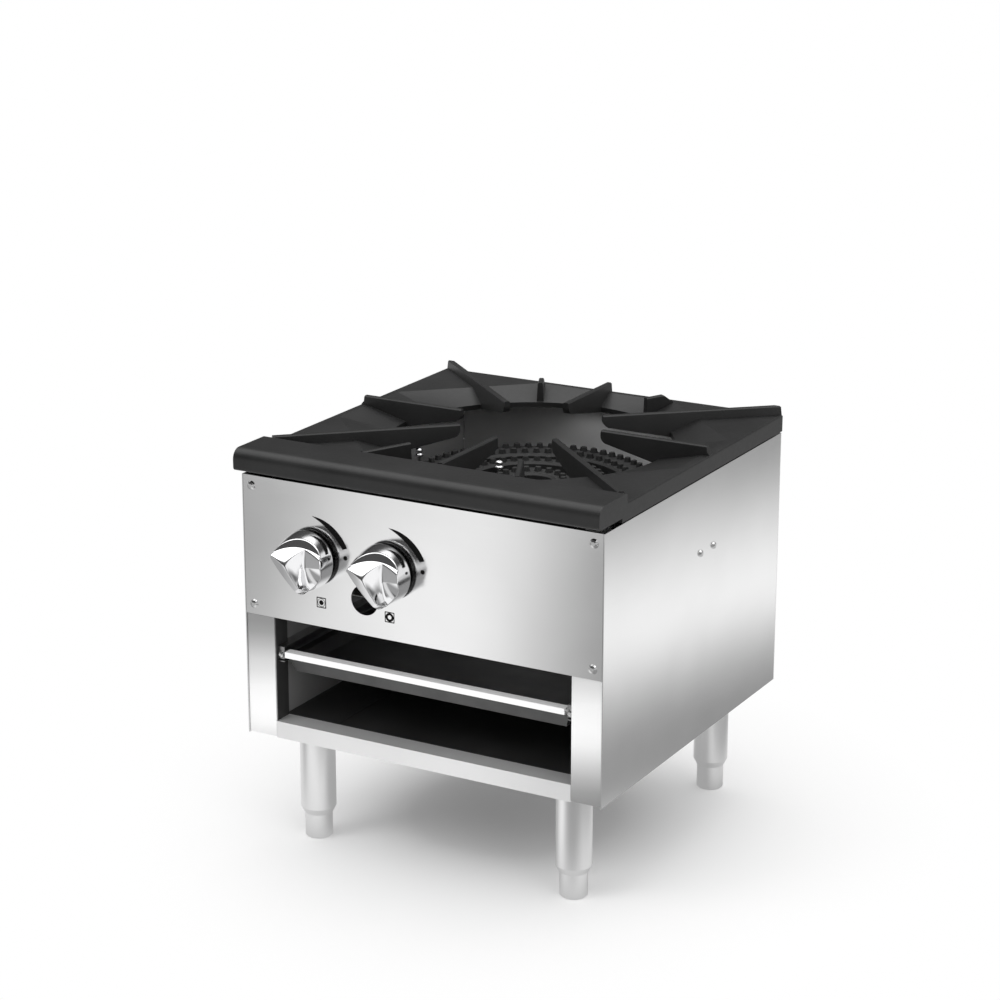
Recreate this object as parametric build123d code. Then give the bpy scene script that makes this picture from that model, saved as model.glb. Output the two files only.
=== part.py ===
from build123d import *
import os
from math import atan2, cos, degrees, hypot, pi, radians, sin

os.makedirs("parts", exist_ok=True)

# Single-burner floor range for stock pots. Millimetres, +Z up, floor at Z 0, control side towards -Y.
# Everything is laid out from the cabinet: X 0 in the middle, Y 0 at the face of the control panel.

# Cabinet
body_width = 457.0
body_depth = 455.0
body_height = 310.0
leg_height = 135.0
sheet = 1.2
seam_gap = 0.3
return_flange = 14.0
panel_height = 164.0
post_width = 36.5
post_depth = 26.0
rail_height = 20.0
floor_seam_inset = 103.5
floor_seam_gap = 0.6
floor_drop = 1.2
base_channel_width = 80.0

# Fire box round the burners
wall_inset = 32.3
fire_front_y = 76.0
fire_back_inset = 15.0
fire_bottom = 300.0
liner_sheet = 1.0

# One-piece cast-iron top
top_front_y = -15.0
top_overhang = 1.0
top_bottom_gap = 2.0
rim_height = 20.0
rim_width = 9.0
rim_edge_radius = 2.0
rail_top_rise = 10.0
nose_depth = 65.0
nose_bottom_rise = 5.0
nose_radius = 12.0
nose_back_radius = 4.0
nose_low_radius = 4.5
plate_thickness = 6.0
bowl_radius = 166.0
bowl_lip_drop = 13.0
bowl_centre_shift = 4.5
bowl_side_half = 66.0
bowl_back_half = 90.0
finger_top_width = 7.0
finger_foot_width = 12.0
finger_rise = 10.5
finger_tip_height = 12.0
finger_foot_depth = 30.0
finger_tail = 4.0
finger_edge = 1.2
finger_inset = 0.5
side_finger_radius = 92.0
corner_finger_radius = 85.0
middle_finger_radius = 85.0
corner_finger_x = 222.5
rib_angle = 25.0
rib_width = 6.0
rib_foot_width = 9.0
rib_depth = 28.0
rib_slope_length = 14.5
pad_radius = 6.0
pad_inset = 10.5
pad_end_y = 60.0

# Ring burners
port_pitch = 13.9
port_width = 8.4
port_rise = 5.0
burner_top = 405.0
ring_height = 22.0
outer_ring_inner = 109.0
outer_ring_outer = 147.0
outer_port_rows = (117.0, 139.0)
middle_ring_inner = 74.0
middle_ring_outer = 92.0
middle_port_row = 83.0
hub_ring_inner = 27.0
hub_ring_outer = 49.0
hub_port_row = 38.0
spoke_width = 14.0
mixer_start_y = 65.3
mixer_wall = 3.0
outer_mixer_radius = 19.0
inner_mixer_radius = 16.0
outer_boss_shift = 12.0
outer_boss_front = 17.0
inner_boss_front = 77.0
outer_boss_radius = 17.0
inner_boss_radius = 13.5
boss_wall = 6.0
support_width = 16.0
support_thickness = 4.0
support_reach = 49.0
support_lug = 22.0

# Gas train
knob_x = -88.5
knob_spacing = 100.0
knob_height = 360.5
manifold_radius = 13.35
manifold_y = 31.0
manifold_rise = 29.5
manifold_end_reach = 36.0
pipe_wall = 2.9
inlet_inset = 16.3
inlet_leg = 25.2
inlet_bend = 20.0
inlet_reach = 34.0
inlet_clearance = 1.0
inlet_thread_length = 20.0
inlet_thread_depth = 0.35
valve_radius = 13.0
valve_front_y = 8.0
valve_back_y = 48.0
valve_cap_radius = 9.0
orifice_radius = 5.0
orifice_length = 19.0
orifice_bore = 0.9
stem_radius = 4.0
stem_front_y = -24.0
stem_back_y = 38.0
stem_fit = 0.05
stem_flat = 1.2
stem_hole_clearance = 3.0
shutter_thickness = 1.5
shutter_gap = 0.3
shutter_fit = 0.08
shutter_radius = 21.0
shutter_window = 5.0
shutter_window_pitch = 11.5

# Control knobs
knob_radius = 33.0
knob_gap = 2.5
knob_depth = 48.0
knob_crown = 26.0
grip_angle = 129.0
grip_back = 5.0
grip_front = 6.5
facet_spread = 21.0
facet_foot = 17.5
facet_depth = 24.0
scoop_waist = 8.0
scoop_foot = 15.0
scoop_depth = 31.0
scoop_edge_depth = 38.0
knob_hollow_depth = 5.0
knob_wall = 4.0
knob_boss_radius = 9.0
knob_boss_top = 24.0

# Pilots
pilot_tube_radius = 3.0
pilot_head_radius = 4.5
pilot_head_height = 11.0
outer_pilot_top = 418.0
outer_pilot_gap = 13.0
outer_pilot_back = 13.0
outer_pilot_height = 389.0
inner_pilot_top = 414.0
inner_pilot_x = -57.0
inner_pilot_back = 26.0
inner_pilot_height = 344.0
pilot_valve_size = 12.0
pilot_bend = 12.0
pilot_hole_clearance = 2.0

# Control panel openings
lighting_hole_x = -68.5
lighting_hole_z = 322.0
lighting_hole_radius = 17.5
panel_screw_side = 12.5
panel_screw_inset = 12.0
panel_screw_radius = 5.5
panel_screw_head = 2.6

# Drip tray and its guides
guide_height = 226.0
guide_rise = 18.0
guide_depth = 14.0
guide_front_y = 8.0
guide_back_inset = 25.0
tray_front_y = 5.0
tray_back_inset = 35.0
tray_clearance = 2.5
tray_side_gap = 0.8
tray_lift_gap = 1.2
tray_depth = 14.0
tray_slope = 5.0
tray_lip_height = 7.0
tray_lip_depth = 10.0
tray_lip_top = 239.5
tray_sheet = 1.2

# Legs and adjustable feet
leg_side_inset = 60.0
leg_front_y = 52.0
leg_back_inset = 47.0
leg_radius = 20.65
leg_wall = 1.6
leg_taper_height = 8.0
foot_height = 30.0
foot_radius = 16.0
foot_neck_radius = 14.0
foot_stem_radius = 8.0
foot_stem_length = 55.0
foot_fit = 0.1
leg_insert_height = 40.0
leg_stud_radius = 6.0
leg_stud_length = 14.0
leg_stud_clearance = 0.5
leg_nut_width = 19.0
leg_nut_height = 8.0

# Small screws on the sides and the back
side_screw_front = 20.5
side_screw_back = 13.7
side_screw_height = 357.3
side_screw_radius = 4.2
side_screw_head = 3.0
screw_shank = 2.5
screw_length = 10.0
screw_clearance = 0.3
hanger_margin = 14.0
hanger_rise = 11.0
back_screw_count = 4
back_screw_inset = 7.5
vent_count = 7
vent_width = 60.0
vent_height = 5.0
vent_pitch = 14.0
vent_z = 200.0

# Levels and planes that follow from the sizes above
half_width = body_width / 2
body_bottom = leg_height
body_top = leg_height + body_height
panel_bottom = body_top - panel_height
skin_inner = half_width - sheet
frame_half = skin_inner - seam_gap
post_inner = frame_half - post_width
opening_half = post_inner - seam_gap
floor_top = body_bottom + rail_height - floor_drop
wall_inner = half_width - wall_inset
wall_outer = wall_inner + liner_sheet
liner_top = body_top - sheet
back_inner_y = body_depth - sheet
fire_back_y = body_depth - fire_back_inset
floor_seam_x = -half_width + floor_seam_inset
leg_x = half_width - leg_side_inset
leg_back_y = body_depth - leg_back_inset
guide_back_y = body_depth - guide_back_inset
tray_back_y = body_depth - tray_back_inset
panel_screw_x = half_width - panel_screw_side
top_half = half_width + top_overhang
rim_bottom = body_top + top_bottom_gap
rim_top = rim_bottom + rim_height
rail_top = rim_top + rail_top_rise
finger_top = rim_top + finger_rise
nose_back_y = top_front_y + nose_depth
bowl_centre_y = (nose_back_y + body_depth) / 2 + bowl_centre_shift
side_screw_front_y = bowl_centre_y - side_screw_front
side_screw_back_y = bowl_centre_y + side_screw_back
support_front_y = bowl_centre_y - support_reach
support_back_y = bowl_centre_y + support_reach
outer_pilot_x = -outer_ring_outer - outer_pilot_gap
outer_pilot_y = bowl_centre_y + outer_pilot_back
inner_pilot_y = bowl_centre_y + inner_pilot_back
manifold_height = knob_height + manifold_rise
outer_knob_x = knob_x - knob_spacing / 2
inner_knob_x = knob_x + knob_spacing / 2
outer_boss_x = outer_knob_x + outer_boss_shift
outer_boss_y = bowl_centre_y - outer_boss_front
inner_boss_y = bowl_centre_y - inner_boss_front
inlet_x = -half_width + inlet_inset
manifold_left_x = inlet_x + inlet_leg
manifold_right_x = inner_knob_x + manifold_end_reach
ring_bottom = burner_top - ring_height
orifice_tip_y = valve_back_y + orifice_length
knob_back_y = -knob_gap
knob_face_y = -knob_gap - knob_depth
pipe_end_y = body_depth + inlet_reach
origin_y = (knob_face_y + pipe_end_y) / 2


def block(x0, x1, y0, y1, z0, z1):
    """Straight-sided stock between two corners."""
    middle = Pos((x0 + x1) / 2, (y0 + y1) / 2, (z0 + z1) / 2)
    return middle * Box(abs(x1 - x0), abs(y1 - y0), abs(z1 - z0))


def upright(x, y, z0, z1, radius):
    return Pos(x, y, (z0 + z1) / 2) * Cylinder(radius, z1 - z0)


def along_y(x, z, y0, y1, radius):
    return Pos(x, (y0 + y1) / 2, z) * Rot(90, 0, 0) * Cylinder(radius, y1 - y0)


def along_x(y, z, x0, x1, radius):
    return Pos((x0 + x1) / 2, y, z) * Rot(0, 90, 0) * Cylinder(radius, x1 - x0)


def folded_face(points, thickness):
    """Cross-section of a folded sheet: the line of its outer face, thickened to the left."""
    inner = []
    last = len(points) - 1
    for i, (px, py) in enumerate(points):
        normals = []
        for j in (i - 1, i):
            if 0 <= j < last:
                dx = points[j + 1][0] - points[j][0]
                dy = points[j + 1][1] - points[j][1]
                size = hypot(dx, dy)
                normals.append((-dy / size, dx / size))
        nx = sum(n[0] for n in normals) / len(normals)
        ny = sum(n[1] for n in normals) / len(normals)
        scale = thickness / (nx * nx + ny * ny)
        inner.append((px + nx * scale, py + ny * scale))
    outline = list(points) + inner[::-1]
    return make_face(Polyline(*outline, close=True))


def run_x(face, x0, x1):
    """A section drawn in (Y, Z), run from x0 to x1."""
    return extrude(Plane.YZ.offset(x0) * face, amount=x1 - x0)


def run_y(face, y0, y1):
    """A section drawn in (X, Z), run from y0 to y1."""
    start = Plane(origin=(0, y0, 0), x_dir=(1, 0, 0), z_dir=(0, -1, 0))
    return extrude(start * face, amount=-(y1 - y0))


def run_z(face, z0, z1):
    """A section drawn in (X, Y), run from z0 to z1."""
    return extrude(Plane.XY.offset(z0) * face, amount=z1 - z0)


def other_side(shape):
    return mirror(shape, about=Plane.YZ)


def save(name, shape):
    """Write one piece, moved so that the middle of the whole range stands over the origin."""
    solids = []
    for item in shape if isinstance(shape, list) else [shape]:
        solids += list(item.solids())
    solids = [Pos(0, -origin_y, 0) * s for s in solids]
    piece = solids[0] if len(solids) == 1 else Compound(children=solids)
    export_step(piece, f"parts/{name}.step")


def side_panel(side):
    """Folded outer skin with turned-in edges at the top, the bottom and the back."""
    flange_start = post_depth + sheet + 4 * seam_gap
    upper = folded_face(
        [
            (half_width - return_flange, body_top),
            (half_width, body_top),
            (half_width, body_bottom),
            (half_width - return_flange, body_bottom),
        ][::-1],
        sheet,
    )
    skin = run_y(upper, flange_start, back_inner_y)
    skin += block(skin_inner, half_width, 0, flange_start, body_bottom, body_top)
    skin += block(
        half_width - return_flange, half_width, back_inner_y - sheet, back_inner_y, body_bottom, body_top
    )
    for y in (side_screw_front_y, side_screw_back_y):
        reach = half_width + sheet
        skin -= along_x(y, side_screw_height, skin_inner - sheet, reach, screw_shank + screw_clearance)
    for z in back_screw_levels():
        x = half_width - back_screw_inset
        skin -= along_y(x, z, back_inner_y - 2 * sheet, body_depth, screw_shank + screw_clearance)
    skin = skin if side > 0 else other_side(skin)
    return skin - inlet_hole() if side < 0 else skin


def back_screw_levels():
    step = (body_height - 4 * return_flange) / (back_screw_count - 1)
    return [body_bottom + 2 * return_flange + i * step for i in range(back_screw_count)]


def inlet_hole():
    radius = manifold_radius + inlet_clearance
    return along_y(inlet_x, manifold_height, fire_back_y, pipe_end_y, radius)


def front_post(side):
    """Channel behind each front corner, open towards the back."""
    section = folded_face(
        [
            (frame_half, sheet + post_depth),
            (frame_half, sheet),
            (post_inner, sheet),
            (post_inner, sheet + post_depth),
        ][::-1],
        sheet,
    )
    post = run_z(section, body_bottom + sheet, body_top - sheet)
    for z in panel_screw_levels():
        post -= along_y(panel_screw_x, z, 0, post_depth / 2, screw_shank + screw_clearance)
    post = post if side > 0 else other_side(post)
    if side < 0:
        notch = manifold_radius + inlet_clearance
        post -= along_x(manifold_y, manifold_height, -post_inner - 2 * sheet, -post_inner + sheet, notch)
    return post


def panel_screw_levels():
    return [panel_bottom + panel_screw_inset, body_top - panel_screw_inset]


def control_panel():
    """Front panel with returns above and below, stem holes, lighting hole and screw holes."""
    panel = block(-frame_half, frame_half, 0, sheet, panel_bottom, body_top)
    back_edge = return_flange + sheet
    panel += block(-opening_half, opening_half, 0, back_edge, panel_bottom, panel_bottom + sheet)
    panel += block(-opening_half, opening_half, 0, back_edge, body_top - sheet, body_top)
    for x in (outer_knob_x, inner_knob_x):
        panel -= along_y(x, knob_height, -sheet, 2 * sheet, stem_radius + stem_hole_clearance)
    panel -= along_y(lighting_hole_x, lighting_hole_z, -sheet, 2 * sheet, lighting_hole_radius)
    for x in (-panel_screw_x, panel_screw_x):
        for z in panel_screw_levels():
            panel -= along_y(x, z, -sheet, 2 * sheet, screw_shank + screw_clearance)
    return panel


def front_rail():
    """Channel under the shelf opening."""
    section = folded_face(
        [
            (sheet + post_depth, body_bottom + rail_height),
            (sheet, body_bottom + rail_height),
            (sheet, body_bottom),
            (sheet + post_depth, body_bottom),
        ],
        sheet,
    )
    return run_x(section, -opening_half, opening_half)


def floor_pan(x0, x1):
    """Half of the shelf floor: a folded pan that stands on the bottom flanges of the skins."""
    section = folded_face(
        [
            (x0, body_bottom + sheet),
            (x0, floor_top),
            (x1, floor_top),
            (x1, body_bottom + sheet),
        ][::-1],
        sheet,
    )
    start = sheet + post_depth + seam_gap
    pan = run_y(section, start, back_inner_y - sheet - seam_gap)
    tongue_x0 = max(x0, -opening_half)
    tongue_x1 = min(x1, opening_half)
    pan += block(tongue_x0, tongue_x1, return_flange, start + sheet, floor_top - sheet, floor_top)
    for side in (-1, 1):
        for y in (leg_front_y, leg_back_y):
            pan -= upright(side * leg_x, y, body_bottom, floor_top - sheet, leg_nut_width)
    return pan


def base_channel(side):
    """Stiffening channel under the shelf floor that carries two legs."""
    half = base_channel_width / 2
    section = folded_face(
        [
            (leg_x - half, floor_top - sheet),
            (leg_x - half, body_bottom),
            (leg_x + half, body_bottom),
            (leg_x + half, floor_top - sheet),
        ],
        2 * sheet,
    )
    start = sheet + post_depth + seam_gap
    channel = run_y(section, start, back_inner_y - return_flange - seam_gap)
    for y in (leg_front_y, leg_back_y):
        channel -= upright(leg_x, y, body_bottom - sheet, floor_top, leg_stud_radius + leg_stud_clearance)
    return channel if side > 0 else other_side(channel)


def back_panel():
    """Rear cover with vent slots and the hole for the gas inlet."""
    cover = block(-half_width, half_width, back_inner_y, body_depth, body_bottom, body_top)
    inner = half_width - return_flange - seam_gap
    for z0 in (body_bottom, body_top - sheet):
        cover += block(-inner, inner, back_inner_y - return_flange, body_depth, z0, z0 + sheet)
    cover -= inlet_hole()
    slot = run_y(Rectangle(vent_width, vent_height), back_inner_y - sheet, body_depth + sheet)
    for i in range(vent_count):
        for x in (-half_width / 2, half_width / 2):
            cover -= Pos(x, 0, vent_z + i * vent_pitch) * slot
    for x in (-half_width + back_screw_inset, half_width - back_screw_inset):
        for z in back_screw_levels():
            cover -= along_y(x, z, back_inner_y - sheet, body_depth + sheet, screw_shank + screw_clearance)
    return cover


def inner_wall(side):
    """Side wall of the shelf and of the fire box, stepped back above the shelf to clear the valves."""
    front = sheet + post_depth + seam_gap
    back = fire_back_y - seam_gap
    outline = Polyline(
        (front, floor_top),
        (back, floor_top),
        (back, liner_top),
        (fire_front_y, liner_top),
        (fire_front_y, fire_bottom),
        (front, fire_bottom),
        close=True,
    )
    wall = run_x(make_face(outline), wall_inner, wall_outer)
    wall += block(wall_inner, skin_inner - seam_gap, fire_front_y, back, liner_top - liner_sheet, liner_top)
    wall += block(wall_inner, wall_outer + return_flange, front, back, floor_top, floor_top + liner_sheet)
    return wall if side > 0 else other_side(wall)


def fire_front():
    """Front wall of the fire box, pierced by the mixing tubes and the pilot tubes."""
    half = wall_inner - seam_gap
    wall = block(-half, half, fire_front_y, fire_front_y + liner_sheet, fire_bottom, liner_top)
    lip = fire_front_y - return_flange
    wall += block(-half, half, lip, fire_front_y + liner_sheet, fire_bottom, fire_bottom + liner_sheet)
    wall += block(-half, half, lip, fire_front_y + liner_sheet, liner_top - liner_sheet, liner_top)
    y0 = fire_front_y - liner_sheet
    y1 = fire_front_y + 2 * liner_sheet
    wall -= along_y(outer_knob_x, knob_height, y0, y1, outer_mixer_radius + seam_gap)
    wall -= along_y(inner_knob_x, knob_height, y0, y1, inner_mixer_radius + seam_gap)
    hole = pilot_tube_radius + pilot_hole_clearance
    wall -= along_y(outer_pilot_x, outer_pilot_height, y0, y1, hole)
    wall -= along_y(inner_pilot_x, inner_pilot_height, y0, y1, hole)
    return wall


def fire_back():
    """Back wall of the fire box and of the shelf, with a flange that meets the rear cover."""
    section = folded_face(
        [
            (back_inner_y, floor_top),
            (fire_back_y, floor_top),
            (fire_back_y, liner_top),
            (back_inner_y, liner_top),
        ],
        -liner_sheet,
    )
    half = wall_inner - seam_gap
    return run_x(section, -half, half)


def tray_guide(side):
    """Channel along each side of the shelf in which the drip tray runs."""
    section = folded_face(
        [
            (wall_inner - guide_depth, guide_height),
            (wall_inner, guide_height),
            (wall_inner, guide_height + guide_rise),
            (wall_inner - guide_depth, guide_height + guide_rise),
        ],
        sheet,
    )
    guide = run_y(section, post_depth + sheet + seam_gap, guide_back_y)
    # In front of the wall the channel is fixed to the inside of the post.
    ear = wall_inner - guide_depth
    # Its front plate stops above the tray flange, which slides out under it.
    ear_bottom = guide_height + sheet + tray_sheet + tray_lift_gap
    guide += block(
        ear, opening_half, guide_front_y, guide_front_y + sheet, ear_bottom, guide_height + guide_rise
    )
    guide += block(ear, opening_half, guide_front_y, post_depth + 2 * sheet, guide_height, guide_height + sheet)
    upper = guide_height + guide_rise
    guide += block(ear, opening_half, guide_front_y, post_depth + 2 * sheet, upper - sheet, upper)
    x = (ear + opening_half) / 2
    guide -= along_y(x, guide_screw_level(), guide_front_y - 1, guide_front_y + 2 * sheet, screw_shank)
    return guide if side > 0 else other_side(guide)


def guide_screw_level():
    return guide_height + guide_rise / 2


def drip_tray():
    """Shallow sloped pan whose side flanges rest in the guides, with a folded bar as front lip."""
    run = guide_height + sheet
    inner = wall_inner - guide_depth - tray_clearance
    outer = opening_half - tray_side_gap
    y0 = tray_front_y + tray_lip_depth
    floor_z = run - tray_depth

    def pan_solid(offset, top):
        lower = Plane.XY.offset(floor_z + offset) * Pos(0, (y0 + tray_back_y) / 2) * Rectangle(
            2 * (inner - tray_slope - offset), tray_back_y - y0 - 2 * (tray_slope + offset)
        )
        upper = Plane.XY.offset(top) * Pos(0, (y0 + tray_back_y) / 2) * Rectangle(
            2 * (inner - offset), tray_back_y - y0 - 2 * offset
        )
        return loft([lower.face(), upper.face()], ruled=True)

    pan = pan_solid(0, run + tray_sheet)
    start = post_depth + 3 * sheet
    pan += block(-outer, outer, start, tray_back_y, run, run + tray_sheet)
    pan -= pan_solid(tray_sheet, run + tray_sheet + 0.01)
    front_half = inner
    lip = folded_face(
        [
            (y0 + tray_sheet, run),
            (y0 + tray_sheet, tray_lip_top),
            (tray_front_y, tray_lip_top),
            (tray_front_y, tray_lip_top - tray_lip_height),
            (y0 - 2 * tray_sheet, tray_lip_top - tray_lip_height),
        ],
        tray_sheet,
    )
    return pan + run_x(lip, -front_half, front_half)


def leg_positions():
    return {
        "front_left": (-leg_x, leg_front_y),
        "front_right": (leg_x, leg_front_y),
        "back_left": (-leg_x, leg_back_y),
        "back_right": (leg_x, leg_back_y),
    }


def leg(x, y):
    """Round tube leg with a tapered lower end, a threaded insert inside it and a fixing stud on top."""
    bore = foot_stem_radius + foot_fit
    inside = leg_radius - leg_wall
    taper = foot_height + leg_taper_height
    insert = foot_height + leg_insert_height
    outline = Polyline(
        (bore, foot_height),
        (foot_radius + 0.5, foot_height),
        (leg_radius, taper),
        (leg_radius, leg_height),
        (leg_stud_radius, leg_height),
        (leg_stud_radius, leg_height + leg_stud_length),
        (0, leg_height + leg_stud_length),
        (0, leg_height - leg_taper_height),
        (inside, leg_height - leg_taper_height),
        (inside, insert),
        (bore, insert),
        close=True,
    )
    return Pos(x, y, 0) * revolve(Plane.XZ * make_face(outline), axis=Axis.Z)


def foot(x, y):
    """Levelling foot: a rounded barrel on a stem that screws up into the leg."""
    edge = foot_radius - foot_neck_radius
    outline = Polyline(
        (0, 0),
        (foot_neck_radius, 0),
        (foot_radius, edge),
        (foot_radius, foot_height),
        (foot_stem_radius, foot_height),
        (foot_stem_radius, foot_height + foot_stem_length),
        (0, foot_height + foot_stem_length),
        close=True,
    )
    return Pos(x, y, 0) * revolve(Plane.XZ * make_face(outline), axis=Axis.Z)


def leg_nuts():
    """Hexagon nuts that hold the leg studs to the base channels."""
    nut = extrude(RegularPolygon(leg_nut_width / 2, 6, major_radius=False), amount=leg_nut_height)
    nut -= Cylinder(leg_stud_radius + foot_fit, 3 * leg_nut_height)
    seat = body_bottom + 2 * sheet
    return [Pos(x, y, seat) * nut for x, y in leg_positions().values()]


def screw(head_radius, head_height, shank, length):
    """Round-headed screw with its head above Z 0 and its shank below."""
    outline = Polyline(
        (0, -length),
        (shank, -length),
        (shank, 0),
        (head_radius, 0),
        (head_radius * 0.8, head_height * 0.7),
        (head_radius * 0.4, head_height),
        (0, head_height),
        close=True,
    )
    return revolve(Plane.XZ * make_face(outline), axis=Axis.Z)


def panel_screws():
    one = Rot(90, 0, 0) * screw(panel_screw_radius, panel_screw_head, screw_shank, screw_length)
    places = [(x, z) for x in (-panel_screw_x, panel_screw_x) for z in panel_screw_levels()]
    return [Pos(x, 0, z) * one for x, z in places]


def side_screws():
    one = Rot(0, 90, 0) * screw(side_screw_radius, side_screw_head, screw_shank, screw_length)
    right = [
        Pos(half_width, y, side_screw_height) * one for y in (side_screw_front_y, side_screw_back_y)
    ]
    return right + [other_side(s) for s in right]


def back_screws():
    one = Rot(-90, 0, 0) * screw(side_screw_radius, side_screw_head, screw_shank, screw_length)
    x = half_width - back_screw_inset
    return [Pos(side * x, body_depth, z) * one for side in (-1, 1) for z in back_screw_levels()]


def guide_screws():
    one = Rot(90, 0, 0) * screw(side_screw_radius, side_screw_head, screw_shank - 0.05, screw_length)
    x = (wall_inner - guide_depth + opening_half) / 2
    return [Pos(side * x, guide_front_y, guide_screw_level()) * one for side in (-1, 1)]


def burner_hanger(side):
    """Bracket between the outer skin and the inner wall, held by the two side screws."""
    y0 = side_screw_front_y - hanger_margin
    y1 = side_screw_back_y + hanger_margin
    z0 = side_screw_height - hanger_rise
    z1 = side_screw_height + hanger_rise
    section = folded_face([(wall_outer, y0), (skin_inner, y0), (skin_inner, y1), (wall_outer, y1)], sheet)
    bracket = run_z(section, z0, z1)
    for y in (side_screw_front_y, side_screw_back_y):
        bracket -= along_x(y, side_screw_height, skin_inner - 2 * sheet, half_width, screw_shank)
    return bracket if side > 0 else other_side(bracket)


def burner_support(y):
    """Flat bar across the fire box with turned-down ends fixed to its walls."""
    section = folded_face(
        [
            (-wall_inner, ring_bottom - support_lug),
            (-wall_inner, ring_bottom),
            (wall_inner, ring_bottom),
            (wall_inner, ring_bottom - support_lug),
        ][::-1],
        support_thickness,
    )
    return run_y(section, y - support_width / 2, y + support_width / 2)


def port_row(row_radius):
    """Raised hexagonal ports set evenly round one row."""
    count = round(2 * pi * row_radius / port_pitch)
    port = extrude(RegularPolygon(port_width / 2, 6, major_radius=False), amount=port_rise, taper=12)
    return [Rot(0, 0, 360 * i / count) * Pos(row_radius, 0, 0) * port for i in range(count)]


def burner_ring(inner, outer):
    """Hollow-looking ring casting with a crowned top land and drafted walls."""
    draft = ring_height / 8
    outline = Polyline(
        (inner + draft, -ring_height),
        (outer - draft, -ring_height),
        (outer, -draft),
        (outer - draft, 0),
        (inner + draft, 0),
        (inner, -draft),
        close=True,
    )
    return revolve(Plane.XZ * make_face(outline), axis=Axis.Z)


def mixing_tube(x, radius, end_y):
    """Venturi tube with a bell mouth whose face has air windows round the orifice."""
    throat = radius * 0.72
    length = end_y - mixer_start_y
    face = 2 * shutter_thickness
    shell = Polyline(
        (orifice_radius + 4 * shutter_gap, 0),
        (radius, 0),
        (radius, length * 0.12),
        (throat, length * 0.35),
        (radius * 0.92, length),
        (radius * 0.92 - mixer_wall, length),
        (throat - mixer_wall, length * 0.35),
        (radius - mixer_wall, length * 0.12),
        (radius - mixer_wall, face),
        (orifice_radius + 4 * shutter_gap, face),
        close=True,
    )
    tube = revolve(Plane.XY * make_face(shell), axis=Axis.Y)
    for angle in (0, 180):
        window = Rot(0, angle, 0) * Pos(shutter_window_pitch, face / 2, 0) * Rot(90, 0, 0)
        tube -= window * Cylinder(shutter_window / 1.4, 3 * face)
    return Pos(x, mixer_start_y, knob_height) * tube


def outer_burner():
    """Outer ring casting with two rows of ports and its mixing tube."""
    centre = Pos(0, bowl_centre_y, burner_top)
    ring = centre * burner_ring(outer_ring_inner, outer_ring_outer)
    for row in outer_port_rows:
        ring = ring.fuse(*[centre * p for p in port_row(row)])
    end = outer_boss_y - outer_mixer_radius / 2
    tube = mixing_tube(outer_knob_x, outer_mixer_radius, end)
    low = knob_height - outer_mixer_radius * 0.9
    inside = outer_boss_radius - boss_wall
    boss = upright(outer_boss_x, outer_boss_y, low, burner_top - boss_wall, outer_boss_radius)
    bore = upright(outer_boss_x, outer_boss_y, low + boss_wall, ring_bottom - boss_wall, inside)
    passage = along_y(
        outer_knob_x, knob_height, end - mixer_wall, end + boss_wall * 2, outer_mixer_radius * 0.92 - mixer_wall
    )
    return one_solid(ring + (boss - bore) + (tube - passage))


def inner_burner():
    """Middle ring and hub ring in one casting, joined by spokes, with its mixing tube."""
    centre = Pos(0, bowl_centre_y, burner_top)
    casting = centre * burner_ring(middle_ring_inner, middle_ring_outer)
    casting += centre * burner_ring(hub_ring_inner, hub_ring_outer)
    spoke_length = middle_ring_inner - hub_ring_outer + 12
    middle = (middle_ring_inner + hub_ring_outer) / 2
    for angle in (0, 120, 240):
        spoke = Pos(middle, 0, -ring_height * 0.6) * Box(spoke_length, spoke_width, ring_height * 0.6)
        casting += centre * Rot(0, 0, angle) * spoke
    for row in (middle_port_row, hub_port_row):
        casting = casting.fuse(*[centre * p for p in port_row(row)])
    end = inner_boss_y - inner_mixer_radius / 2
    tube = mixing_tube(inner_knob_x, inner_mixer_radius, end)
    low = knob_height - inner_mixer_radius * 0.9
    inside = inner_boss_radius - boss_wall
    boss = upright(inner_knob_x, inner_boss_y, low, burner_top - boss_wall, inner_boss_radius)
    bore = upright(inner_knob_x, inner_boss_y, low + boss_wall, ring_bottom - boss_wall, inside)
    return one_solid(casting + (boss - bore) + tube)


def one_solid(shape):
    solids = shape.solids()
    if len(solids) > 1:
        print("pieces that did not join:", [round(s.volume) for s in solids])
    return max(solids, key=lambda s: s.volume)


def air_shutter(x):
    """Round shutter plate that turns on the orifice and covers the air windows."""
    back = mixer_start_y - shutter_gap
    plate = along_y(x, knob_height, back - shutter_thickness, back, shutter_radius)
    plate -= along_y(x, knob_height, back - 3, back + 1, orifice_radius + shutter_fit)
    for side in (-1, 1):
        window = shutter_window / 1.4
        plate -= along_y(x + side * shutter_window_pitch, knob_height, back - 3, back + 1, window)
    tab = block(x - 4, x + 4, back - 6, back, knob_height - shutter_radius - 5, knob_height - shutter_radius + 1)
    return plate + tab


def manifold():
    """Gas manifold with a closed right end."""
    pipe = along_x(manifold_y, manifold_height, manifold_left_x, manifold_right_x, manifold_radius)
    bore = manifold_radius - pipe_wall
    pipe -= along_x(
        manifold_y, manifold_height, manifold_left_x - pipe_wall, manifold_right_x - pipe_wall, bore
    )
    return pipe


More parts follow.
